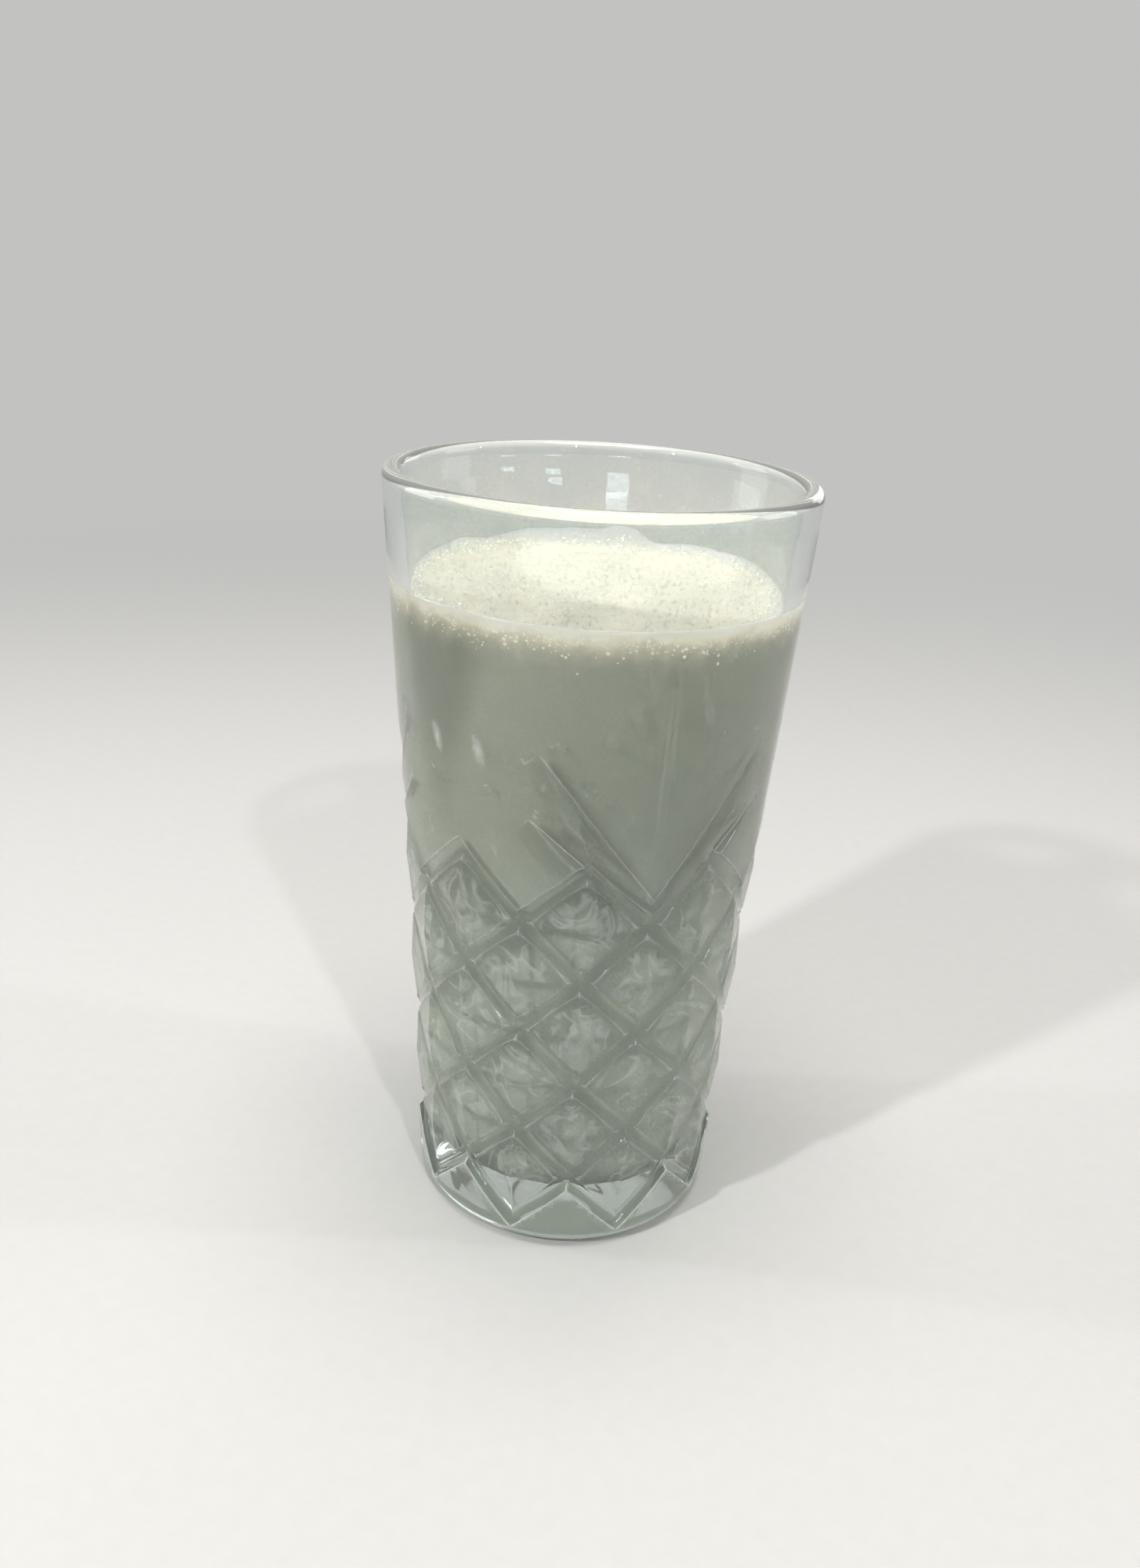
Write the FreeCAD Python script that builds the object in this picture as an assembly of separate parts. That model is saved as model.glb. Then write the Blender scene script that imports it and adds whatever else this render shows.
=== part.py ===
"""Tall cut-pattern glass tumbler, filled with buttermilk.

Millimetres, +Z up. The origin is the centre of the foot, on the surface that the glass stands on.
Angles round the glass are measured from the front (-Y) towards the right (+X).
"""
import FreeCAD
import Part
import math
import os
from FreeCAD import Vector

# Tumbler outline
HEIGHT = 150.0
RIM_RADIUS = 39.6
WALL_TAPER = 0.0636          # growth of the outer radius for each millimetre of height
WAIST_HEIGHT = 90.0          # the wall tapers a little less below this height
LOWER_TAPER = 0.0497
HEEL_ROUND = 4.0
STANDING_RING = 4.6          # width of the flat ring that the glass stands on
PUNT_DEPTH = 0.9             # rise of the underside inside the ring

# Bore
RIM_WALL = 3.4               # wall at the lip, which is fully rounded
FLOOR_HEIGHT = 12.0
FLOOR_WALL = 5.2             # wall at the floor of the bore
FLOOR_ROUND = 7.0

# Cut diamonds
FANS = 3
COLUMNS_PER_FAN = 3
LOWEST_NODE = 5.4            # height of the lowest groove crossing
NODE_STEP = 11.65            # height from one row of crossings to the next
DIAMOND_ROWS = 6
GROOVE_SHARE = 0.1           # half of the groove's width, as a share of the diamond's side
GROOVE_DEPTH = 1.35
DIAMOND_EDGE_DEPTH = 0.75
DIAMOND_PEAK_DEPTH = 0.1
BANK_SHARE = 0.13            # reach of the border groove into the plain wall
TOOL_CLEAR = 1.5             # how far the cutting shapes stand out of the wall

# Fans above the diamonds. Each blade is a leaf-shaped cut from its foot to its tip, placed from
# the crossing under the fan: a turn in columns and a rise in millimetres for the foot and the
# tip, the depth, and the half widths on the lower and the upper side.
BLADES = (
    (0.0, 1.7, 0.94, 21.2, 0.9, 2.0, 4.6),
    (-0.02, 5.2, 0.89, 33.5, 0.8, 3.0, 6.0),
)
BLADE_STATIONS = 12
BLADE_CLEAR = 0.35           # how far a blade's sides rise out of the wall

# Buttermilk
MILK_BELOW_RIM = 20.5

COLUMNS = FANS * COLUMNS_PER_FAN
COLUMN_ANGLE = 2.0 * math.pi / COLUMNS
LATTICE_LINES = (0.0, GROOVE_SHARE, 0.5, 1.0 - GROOVE_SHARE, 1.0)


def wall_radius(z):
    """Outer radius of the uncut glass at height z."""
    if z >= WAIST_HEIGHT:
        return RIM_RADIUS - WALL_TAPER * (HEIGHT - z)
    return wall_radius(WAIST_HEIGHT) - LOWER_TAPER * (WAIST_HEIGHT - z)


def bore_radius(z):
    """Radius of the straight bore at height z."""
    rim_bore = RIM_RADIUS - RIM_WALL
    floor_bore = wall_radius(FLOOR_HEIGHT) - FLOOR_WALL
    share = (z - FLOOR_HEIGHT) / (HEIGHT - FLOOR_HEIGHT)
    return floor_bore + (rim_bore - floor_bore) * share


def on_wall(angle, z, offset):
    """Point at a turn and a height, offset outwards from the uncut wall."""
    radius = wall_radius(z) + offset
    return Vector(radius * math.sin(angle), -radius * math.cos(angle), z)


def quarter_arc(start, end, centre):
    """Arc between two points round a centre in the XZ plane, by its middle point."""
    middle = (start + end) * 0.5 - centre
    radius = (start - centre).Length
    middle.multiply(radius / middle.Length)
    return Part.Arc(start, centre + middle, end).toShape()


def revolve(edges):
    """Solid of revolution about the Z axis from a closed outline, its edges in order."""
    face = Part.Face(Part.Wire(edges))
    solid = face.revolve(Vector(0, 0, 0), Vector(0, 0, 1), 360)
    if solid.Volume < 0:
        solid.reverse()
    return solid


def line(start, end):
    return Part.LineSegment(start, end).toShape()


def bore_outline(top):
    """Edges of the bore's half section from the axis at the floor up to a height, and its end."""
    slope = (bore_radius(top) - bore_radius(FLOOR_HEIGHT)) / (top - FLOOR_HEIGHT)
    lean = math.atan(slope)
    reach = FLOOR_ROUND * math.tan((math.pi / 2.0 - lean) / 2.0)
    corner = Vector(bore_radius(FLOOR_HEIGHT), 0, FLOOR_HEIGHT)
    flat_end = corner - Vector(reach, 0, 0)
    wall_start = corner + Vector(math.sin(lean), 0, math.cos(lean)) * reach
    wall_end = Vector(bore_radius(top), 0, top)
    centre = flat_end + Vector(0, 0, FLOOR_ROUND)
    axis_floor = Vector(0, 0, FLOOR_HEIGHT)
    edges = [
        line(axis_floor, flat_end),
        quarter_arc(flat_end, wall_start, centre),
        line(wall_start, wall_end),
    ]
    return edges, wall_end


def glass_blank():
    """The tumbler before its pattern: foot, outer wall, rounded lip and bore."""
    lip_round = RIM_WALL / 2.0
    lip_height = HEIGHT - lip_round
    heel_top = Vector(wall_radius(HEEL_ROUND), 0, HEEL_ROUND)
    heel_foot = Vector(heel_top.x - HEEL_ROUND, 0, 0)
    heel_centre = Vector(heel_foot.x, 0, HEEL_ROUND)
    punt_edge = Vector(heel_foot.x - STANDING_RING, 0, 0)
    punt_top = Vector(0, 0, PUNT_DEPTH)
    sphere = (punt_edge.x ** 2 + PUNT_DEPTH ** 2) / (2.0 * PUNT_DEPTH)
    halfway = math.asin(punt_edge.x / sphere) / 2.0
    punt_middle = Vector(sphere * math.sin(halfway), 0, PUNT_DEPTH - sphere * (1.0 - math.cos(halfway)))
    waist = Vector(wall_radius(WAIST_HEIGHT), 0, WAIST_HEIGHT)
    lip_outer = Vector(wall_radius(lip_height), 0, lip_height)
    bore_edges, bore_end = bore_outline(lip_height)
    lip_top = Vector((lip_outer.x + bore_end.x) / 2.0, 0, HEIGHT)
    outer = [
        Part.Arc(punt_top, punt_middle, punt_edge).toShape(),
        line(punt_edge, heel_foot),
        quarter_arc(heel_foot, heel_top, heel_centre),
        line(heel_top, waist),
        line(waist, lip_outer),
        Part.Arc(lip_outer, lip_top, bore_end).toShape(),
    ]
    axis = line(Vector(0, 0, FLOOR_HEIGHT), punt_top)
    return revolve(outer + bore_edges[::-1] + [axis])


def closed_shape(points, triangles):
    """Solid from a closed set of triangles."""
    shape = Part.Shape()
    shape.makeShapeFromMesh((points, triangles), 0.001)
    solid = Part.makeSolid(shape)
    if solid.Volume < 0:
        solid.reverse()
    return solid


def lattice_point(u, v):
    """Turn and height at lattice coordinates: whole u or v is the middle line of a groove."""
    angle = (u + v + 1.0) * COLUMN_ANGLE / 2.0
    height = LOWEST_NODE + (u - v) * NODE_STEP
    return angle, height


def cell_offset(u, v):
    """Offset from the uncut wall at a corner inside one diamond cell."""
    nearest = min(u, 1.0 - u, v, 1.0 - v)
    if nearest <= 0.0:
        return -GROOVE_DEPTH
    if nearest <= GROOVE_SHARE:
        return -DIAMOND_EDGE_DEPTH
    return -DIAMOND_PEAK_DEPTH


class Skin:
    """Triangles over the wall. Each one makes a cut face and, above it, a cover face."""

    def __init__(self):
        self.points = []
        self.index = {}
        self.triangles = []

    def corner(self, u, v, offset):
        angle, height = lattice_point(u, v)
        turn = round(math.degrees(angle) % 360.0, 4) % 360.0
        key = (turn, round(height, 4), round(offset, 4))
        if key not in self.index:
            self.index[key] = len(self.points)
            self.points.append(on_wall(math.radians(turn), height, offset))
        return self.index[key]

    def triangle(self, *corners):
        """Corners (u, v, offset), clockwise as seen from outside."""
        self.triangles.append(tuple(self.corner(*corner) for corner in corners))
        covers = [self.corner(u, v, TOOL_CLEAR) for u, v, offset in corners]
        self.triangles.append(tuple(reversed(covers)))


def add_diamond(skin, left_u, left_v):
    """One diamond with the halves of its four grooves."""
    for i in range(len(LATTICE_LINES) - 1):
        for j in range(len(LATTICE_LINES) - 1):
            quad = []
            for step_u, step_v in ((0, 0), (1, 0), (1, 1), (0, 1)):
                u = LATTICE_LINES[i + step_u]
                v = LATTICE_LINES[j + step_v]
                quad.append((left_u + u, left_v + v, cell_offset(u, v)))
            a, b, c, d = quad
            if (i < 2) == (j < 2):
                skin.triangle(a, b, c)
                skin.triangle(a, c, d)
            else:
                skin.triangle(a, b, d)
                skin.triangle(b, c, d)


def bank_reach():
    """Distance from a border groove to where its bank stands clear of the wall, in cell units."""
    return BANK_SHARE * (1.0 + TOOL_CLEAR / GROOVE_DEPTH)


def add_bank(skin, corner_u, corner_v, side):
    """The outer banks of the two border grooves that leave an inner corner of the zigzag.

    side is 1 above the diamonds and -1 below them.
    """
    reach = bank_reach()
    beside_mitre = [x for x in LATTICE_LINES if x <= reach]
    past_mitre = [x for x in LATTICE_LINES if x > reach]

    def place(on_u, along, across):
        offset = TOOL_CLEAR if across else -GROOVE_DEPTH
        if on_u:
            return (corner_u + side * along, corner_v - side * across, offset)
        return (corner_u + side * across, corner_v - side * along, offset)

    def face(on_u, *corners):
        if on_u == (side > 0):
            corners = tuple(reversed(corners))
        skin.triangle(*corners)

    for on_u in (True, False):
        mitre = place(on_u, reach, reach)
        for low, high in zip(beside_mitre[:-1], beside_mitre[1:]):
            face(on_u, place(on_u, low, 0.0), place(on_u, high, 0.0), mitre)
        inner = place(on_u, beside_mitre[-1], 0.0)
        outer = mitre
        for along in past_mitre:
            next_inner = place(on_u, along, 0.0)
            next_outer = place(on_u, along, reach)
            face(on_u, inner, next_inner, next_outer)
            face(on_u, inner, next_outer, outer)
            inner = next_inner
            outer = next_outer


def add_tip(skin, u, v, side):
    """The end bank past an outer point of the zigzag, between two border grooves."""
    reach = bank_reach()
    tip = (u, v, -GROOVE_DEPTH)
    first = (u + side * reach, v, TOOL_CLEAR)
    second = (u, v - side * reach, TOOL_CLEAR)
    skin.triangle(tip, second, first)


def diamond_cutter():
    """The shape that cuts all the diamonds out of the wall."""
    skin = Skin()
    for column in range(COLUMNS):
        for row in range(1, DIAMOND_ROWS + 1):
            add_diamond(skin, column + row, column)
        add_bank(skin, column + DIAMOND_ROWS, column, 1)
        add_tip(skin, column + DIAMOND_ROWS + 1, column, 1)
        add_bank(skin, column + 1, column, -1)
        add_tip(skin, column, column, -1)
    return closed_shape(skin.points, skin.triangles)


def blade_cutter(fan_angle, side, blade):
    """A long leaf-shaped cut: a shallow valley whose sides meet the wall in curved edges."""
    foot_turn, foot_rise, tip_turn, tip_rise, depth, below, above = blade
    foot_height = LOWEST_NODE + DIAMOND_ROWS * NODE_STEP + foot_rise
    rise = tip_rise - foot_rise
    run = (tip_turn - foot_turn) * COLUMN_ANGLE * wall_radius(foot_height + rise / 2.0)
    length = math.hypot(rise, run)
    stretch = math.sqrt(1.0 + BLADE_CLEAR / depth)
    points = []
    triangles = []
    for i in range(BLADE_STATIONS + 1):
        share = 0.5 + stretch * (i / BLADE_STATIONS - 0.5)
        fullness = 1.0 - (2.0 * share - 1.0) ** 2
        height = foot_height + rise * share
        turn = COLUMN_ANGLE * (foot_turn + (tip_turn - foot_turn) * share)
        spread = fullness + BLADE_CLEAR / depth
        corners = (
            (0.0, -depth * fullness),
            (-below * spread, BLADE_CLEAR),
            ((above - below) * spread / 2.0, BLADE_CLEAR + TOOL_CLEAR),
            (above * spread, BLADE_CLEAR),
        )
        if i in (0, BLADE_STATIONS):
            corners = ((0.0, BLADE_CLEAR),)
        for across, offset in corners:
            local_turn = turn - across * rise / length / wall_radius(height)
            local_height = height + across * run / length
            points.append(on_wall(fan_angle + side * local_turn, local_height, offset))
    ring_size = 4
    last_point = len(points) - 1
    for i in range(BLADE_STATIONS):
        ring = 1 + (i - 1) * ring_size
        for k in range(ring_size):
            near = ring + k
            near_next = ring + (k + 1) % ring_size
            if i == 0:
                triangles.append((0, near_next + ring_size, near + ring_size))
            elif i == BLADE_STATIONS - 1:
                triangles.append((near, near_next, last_point))
            else:
                triangles.append((near, near_next, near_next + ring_size))
                triangles.append((near, near_next + ring_size, near + ring_size))
    return closed_shape(points, triangles)


def fan_cutters():
    """The blades of every fan, mirrored about the middle of the fan."""
    cutters = []
    for fan in range(FANS):
        fan_angle = COLUMN_ANGLE * (fan * COLUMNS_PER_FAN + 0.5)
        for blade in BLADES:
            for side in (-1.0, 1.0):
                cutters.append(blade_cutter(fan_angle, side, blade))
    return cutters


def tumbler():
    glass = glass_blank().cut(diamond_cutter())
    for cutter in fan_cutters():
        glass = glass.cut(cutter)
    return glass


def buttermilk():
    """The drink: it fills the bore from the floor to its level."""
    level = HEIGHT - MILK_BELOW_RIM
    edges, wall_end = bore_outline(level)
    level_middle = Vector(0, 0, level)
    edges.append(line(wall_end, level_middle))
    edges.append(line(level_middle, Vector(0, 0, FLOOR_HEIGHT)))
    return revolve(edges)


os.makedirs("parts", exist_ok=True)
for name, shape in (("tumbler", tumbler()), ("buttermilk", buttermilk())):
    print(name, "valid:", shape.isValid(), "solids:", len(shape.Solids), "mm3:", round(shape.Volume))
    shape.exportStep("parts/" + name + ".step")
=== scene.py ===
"""A tall cut-pattern glass of buttermilk on a pale floor.

Lengths in the shape code are millimetres and become metres when a mesh is made. Angles round the
glass are degrees from the front (-Y) towards the right (+X), as in the construction. The finishes
and the studio are in metres.
"""

import math
import random

import bpy
from mathutils import Matrix, Vector, noise
from mathutils.geometry import delaunay_2d_cdt


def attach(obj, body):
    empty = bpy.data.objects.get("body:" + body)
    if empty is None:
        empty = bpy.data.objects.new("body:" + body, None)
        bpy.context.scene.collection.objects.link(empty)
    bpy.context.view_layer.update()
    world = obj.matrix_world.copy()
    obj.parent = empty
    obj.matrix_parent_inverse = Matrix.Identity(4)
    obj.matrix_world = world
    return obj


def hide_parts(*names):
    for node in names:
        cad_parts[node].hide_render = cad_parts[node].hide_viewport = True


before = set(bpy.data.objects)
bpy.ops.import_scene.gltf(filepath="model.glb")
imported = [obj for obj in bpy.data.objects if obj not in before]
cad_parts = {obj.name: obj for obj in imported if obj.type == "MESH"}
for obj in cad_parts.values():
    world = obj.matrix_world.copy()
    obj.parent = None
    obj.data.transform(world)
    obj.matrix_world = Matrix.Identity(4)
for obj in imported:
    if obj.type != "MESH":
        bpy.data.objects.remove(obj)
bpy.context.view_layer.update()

MM = 0.001

# Tumbler outline, as built in the construction
HEIGHT = 150.0
RIM_RADIUS = 39.6
WALL_TAPER = 0.0636
WAIST_HEIGHT = 90.0
LOWER_TAPER = 0.0497
HEEL_ROUND = 4.0
STANDING_RING = 4.6
PUNT_DEPTH = 0.9
RIM_WALL = 3.4
FLOOR_HEIGHT = 12.0
FLOOR_WALL = 5.2
FLOOR_ROUND = 7.0
BOX_FIT = 0.9996             # keeps the round lip inside the box of the faceted CAD model

# Cut diamonds
FANS = 3
COLUMNS_PER_FAN = 3
LOWEST_NODE = 5.4            # height of the lowest crossing of two grooves
NODE_STEP = 11.65            # rise from one crossing to the next
DIAMOND_ROWS = 6
GROOVE_DEPTH = 1.35
GROOVE_REACH = 1.64          # half width of a groove
GROOVE_SHARE = 0.1           # the same, as a share of a cell's side
GROOVE_POWER = 3.0           # a flat bottom and steep sides
DIAMOND_EDGE_DEPTH = 0.75
DIAMOND_PEAK_DEPTH = 0.1
GROOVE_CURVE = (GROOVE_DEPTH - DIAMOND_EDGE_DEPTH) / GROOVE_REACH ** GROOVE_POWER
TOP_BANK = 1.9               # width of the border groove's outer bank above the diamonds
FOOT_BANK = 1.5              # the same below the diamonds
EDGE_SOFTNESS = 0.14         # how much the fire polish takes off a cut edge
RIDGE_SOFTNESS = 0.06        # the same on the low ridges of a diamond

# Fans: foot turn (columns), foot rise, tip turn (columns), tip rise, depth, half widths
BLADES = (
    (0.0, 1.7, 0.94, 21.2, 0.9, 2.0, 4.6),
    (-0.02, 5.2, 0.89, 33.5, 0.8, 3.0, 6.0),
)
VALLEY_ROUND = 0.03          # rounding of a blade's bottom line, as a share of its width
BLADE_FILL = 1.15
SEAM_HEIGHT = 0.07           # the mould seam up the middle of a fan
SEAM_HALF_WIDTH = 0.9
SEAM_SPAN = (86.0, 130.0)    # heights of its ends

# Slow waves that the pressing left in the wall
WAVE_HEIGHT = 0.03
WAVE_SCALE = 0.24            # waves per millimetre
WAVE_GROWTH = (108.0, 78.0)  # heights between which they grow to their full height
LEAST_WAVE = 0.25            # their share above that
TOP_CALM = 20.0              # they fade out over this height below the plain lip
FOOT_CALM = 6.0              # and over this one above the table

# Painted highlights on the raised edges, and painted caustic wisps inside the diamonds
HIGHLIGHT_STEP = 0.13             # distance over which the bend of the surface is taken
FULL_HIGHLIGHT_BEND = 0.018       # bend at which an edge gets its full painted highlight
BLADE_HIGHLIGHT_RISE = 2.0        # height above the diamonds from which the bottom lines of blades get painted highlights too
DIAMOND_INSET = 2.2          # distance from a groove's middle at which a diamond's inside, with its painted caustic wisps, starts
INSET_BLEND = 0.8            # distance over which the inside takes over

COLUMNS = FANS * COLUMNS_PER_FAN
HALF_COLUMN = 180.0 / COLUMNS
SECTOR = 360.0 / FANS
CROSSING = LOWEST_NODE + DIAMOND_ROWS * NODE_STEP

MILK_LEVEL = HEIGHT - 20.5
WALL_BITE = 0.15             # how far the drink reaches into the glass
CREEP_HEIGHT = 1.1           # how far the drink creeps up the wall
CREEP_REACH = 0.9
BACK_CREEP = 2.4             # how much further it creeps at the back
CREEP_NOISE = ((0.35, 3.0), (0.15, 9.0))    # unevenness of the creep: shares and scales
SWELL = (0.06, 0.11)         # slow swells of the surface: height, waves per millimetre
LUMPS = (0.035, 0.45)        # small lumps on it
HAZE_GAP = 0.04
HAZE_THICKNESS = 0.04


def progress(value, start, end):
    """How far a value has come from a start to an end, 0 to 1."""
    return min(max((value - start) / (end - start), 0.0), 1.0)


# ---------------------------------------------------------------- outline of the glass

def wall_radius(z):
    """Outer radius of the uncut glass at height z, with the rounded heel."""
    if z >= WAIST_HEIGHT:
        return RIM_RADIUS - WALL_TAPER * (HEIGHT - z)
    waist = RIM_RADIUS - WALL_TAPER * (HEIGHT - WAIST_HEIGHT)
    if z >= HEEL_ROUND:
        return waist - LOWER_TAPER * (WAIST_HEIGHT - z)
    heel = waist - LOWER_TAPER * (WAIST_HEIGHT - HEEL_ROUND)
    drop = HEEL_ROUND - z
    return heel - HEEL_ROUND + math.sqrt(HEEL_ROUND ** 2 - drop ** 2)


def bore_radius(z):
    """Radius of the straight bore at height z."""
    rim_bore = RIM_RADIUS - RIM_WALL
    floor_bore = wall_radius(FLOOR_HEIGHT) - FLOOR_WALL
    return floor_bore + (rim_bore - floor_bore) * (z - FLOOR_HEIGHT) / (HEIGHT - FLOOR_HEIGHT)


def around(angle, radius, z):
    """Point at a turn, a radius and a height."""
    turn = math.radians(angle)
    return Vector((radius * math.sin(turn), -radius * math.cos(turn), z))


# ---------------------------------------------------------------- relief of the cut pattern

def soft_min(a, b, softness):
    """The lower of two values, with the corner between them rounded off."""
    gap = max(softness - abs(a - b), 0.0)
    return min(a, b) - gap * gap / (4.0 * softness)


def lattice_turn(u, v):
    """Turn and height at lattice coordinates. A whole u or v is the middle line of a groove."""
    return (u + v + 1.0) * HALF_COLUMN, LOWEST_NODE + (u - v) * NODE_STEP


def lattice_place(angle, z):
    """Lattice coordinates of a turn and a height."""
    total = angle / HALF_COLUMN - 1.0
    rise = (z - LOWEST_NODE) / NODE_STEP
    return (total + rise) / 2.0, (total - rise) / 2.0


def lattice_row(angle, z):
    """Row of the cell at a turn and a height: 1 is the lowest row of diamonds."""
    u, v = lattice_place(angle, z)
    return math.floor(u) - math.floor(v)


def cell_side(z):
    """Distance across a cell from groove to groove at height z."""
    arc = wall_radius(z) * math.radians(HALF_COLUMN)
    return 2.0 * arc * NODE_STEP / math.hypot(arc, NODE_STEP)


def groove(distance):
    """Offset of the surface at a distance from the middle line of a groove."""
    return -GROOVE_DEPTH + GROOVE_CURVE * distance ** GROOVE_POWER


def bank(distance, width):
    """The same on the outer bank of the border groove."""
    return -GROOVE_DEPTH + GROOVE_DEPTH * (distance / width) ** 2


def facet_planes(row):
    """The four planes of a diamond in this row, its middle at turn 0: (normal, distance) pairs."""
    middle = LOWEST_NODE + row * NODE_STEP
    reach = 1.0 - 2.0 * GROOVE_SHARE
    peak = around(0.0, wall_radius(middle) - DIAMOND_PEAK_DEPTH, middle)
    corners = []
    for turn, rise in ((-1.0, 0.0), (0.0, 1.0), (1.0, 0.0), (0.0, -1.0)):
        z = middle + rise * reach * NODE_STEP
        angle = turn * reach * HALF_COLUMN
        corners.append(around(angle, wall_radius(z) - DIAMOND_EDGE_DEPTH, z))
    planes = []
    for k in range(4):
        normal = (corners[k] - peak).cross(corners[(k + 1) % 4] - peak).normalized()
        if normal.y > 0.0:
            normal.negate()
        planes.append((normal, normal.dot(peak)))
    return planes


FACETS = {row: facet_planes(row) for row in range(1, DIAMOND_ROWS + 1)}


def facet_radius(row, turn, z):
    """Radius of the faceted diamond at a turn from its middle."""
    angle = math.radians(turn)
    lowest = None
    for normal, distance in FACETS[row]:
        across = normal.x * math.sin(angle) - normal.y * math.cos(angle)
        radius = (distance - normal.z * z) / across
        lowest = radius if lowest is None else soft_min(lowest, radius, RIDGE_SOFTNESS)
    return lowest


def blade_ends(blade):
    """Foot and tip of a blade: distances from the middle line of its fan, and heights."""
    foot_turn, foot_rise, tip_turn, tip_rise = blade[:4]
    middle_radius = wall_radius(CROSSING + (foot_rise + tip_rise) / 2.0)
    column = math.radians(2.0 * HALF_COLUMN) * middle_radius
    return (-foot_turn * column, CROSSING + foot_rise), (-tip_turn * column, CROSSING + tip_rise)


def blade_offset(x, z, blade):
    """A leaf-shaped scoop beside the middle line of a fan, which is at x = 0."""
    depth, below, above = blade[4:]
    foot, tip = blade_ends(blade)
    run, rise = tip[0] - foot[0], tip[1] - foot[1]
    length = math.hypot(run, rise)
    along = ((x - foot[0]) * run + (z - foot[1]) * rise) / length ** 2
    across = ((x - foot[0]) * rise - (z - foot[1]) * run) / length
    fullness = 1.0 - (2.0 * along - 1.0) ** 2
    if fullness <= 0.0:
        return 1.0
    width = (above if across > 0.0 else below) * fullness
    share = min(math.hypot(across / width, VALLEY_ROUND), 1.0)
    return -depth * fullness * BLADE_FILL * (1.0 - share) ** 1.5


def seam_rise(x, z):
    """Height of the low seam up the middle line of a fan."""
    low, high = SEAM_SPAN
    across = x / SEAM_HALF_WIDTH
    if abs(across) >= 1.0 or not low < z < high:
        return 0.0
    fade = math.sin(math.pi * (z - low) / (high - low))
    return SEAM_HEIGHT * fade * math.cos(across * math.pi / 2.0) ** 2


def relief(angle, z):
    """Offset of the finished outer surface from the uncut wall."""
    u, v = lattice_place(angle, z)
    cell_u, cell_v = math.floor(u), math.floor(v)
    row = cell_u - cell_v
    du, dv = u - cell_u, v - cell_v
    side = cell_side(z)
    offset = 0.0
    if 1 <= row <= DIAMOND_ROWS:
        middle = (cell_u + cell_v + 2.0) * HALF_COLUMN
        offset = facet_radius(row, angle - middle, z) - wall_radius(z)
        for distance in (du, 1.0 - du, dv, 1.0 - dv):
            offset = soft_min(offset, groove(distance * side), EDGE_SOFTNESS)
    else:
        above, below = (du, 1.0 - dv), (1.0 - du, dv)
        banks = {DIAMOND_ROWS + 2: ([max(above)], TOP_BANK), DIAMOND_ROWS + 1: (above, TOP_BANK),
                 0: (below, FOOT_BANK), -1: ([max(below)], FOOT_BANK)}
        distances, width = banks.get(row, ([], TOP_BANK))
        for distance in distances:
            offset = soft_min(offset, bank(distance * side, width), EDGE_SOFTNESS)
    if z > CROSSING:
        fan_turn = (angle - HALF_COLUMN + SECTOR / 2.0) % SECTOR - SECTOR / 2.0
        x = math.radians(fan_turn) * wall_radius(z)
        for blade in BLADES:
            for side_x in (x, -x):
                offset = soft_min(offset, blade_offset(side_x, z, blade), EDGE_SOFTNESS)
        offset += seam_rise(x, z)
    return offset


def unevenness(angle, z):
    """The slow waves of the wall, strongest in the cut part."""
    place = around(angle, wall_radius(z), z) * WAVE_SCALE
    fade = max(progress(z, *WAVE_GROWTH), LEAST_WAVE) * progress(z, PATCH_TOP, PATCH_TOP - TOP_CALM)
    return WAVE_HEIGHT * fade * noise.noise(place) * progress(z, 0.0, FOOT_CALM)


def skin_point(angle, z):
    """Point of the finished outer surface."""
    return around(angle, wall_radius(z) + relief(angle, z) + unevenness(angle, z), z)


def skin_normal(angle, z):
    """Outward normal of the finished surface, from points close by."""
    step = 0.05
    turn = math.degrees(step / wall_radius(z))
    sideways = skin_point(angle + turn, z) - skin_point(angle - turn, z)
    upwards = skin_point(angle, z + step) - skin_point(angle, z - step)
    return sideways.cross(upwards).normalized()


def painted_light_mask(angle, z):
    """Mask of painted light: 1 for a painted highlight on a raised cut edge or in the bottom line
    of a blade, 0 in a groove, -1 for painted caustic wisps in a diamond.
    """
    u, v = lattice_place(angle, z)
    to_groove = min(abs(u - round(u)), abs(v - round(v))) * cell_side(z)
    if to_groove > DIAMOND_INSET and 1 <= lattice_row(angle, z) <= DIAMOND_ROWS:
        return -min((to_groove - DIAMOND_INSET) / INSET_BLEND, 1.0)
    turn = math.degrees(HIGHLIGHT_STEP / wall_radius(z))
    beside = relief(angle + turn, z) + relief(angle - turn, z)
    beside += relief(angle, z + HIGHLIGHT_STEP) + relief(angle, z - HIGHLIGHT_STEP)
    bend = relief(angle, z) - beside / 4.0
    if z > CROSSING + BLADE_HIGHLIGHT_RISE:
        bend = abs(bend)
    return min(max(bend / FULL_HIGHLIGHT_BEND, 0.0), 1.0)


# ---------------------------------------------------------------- flat patches of the wall

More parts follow.
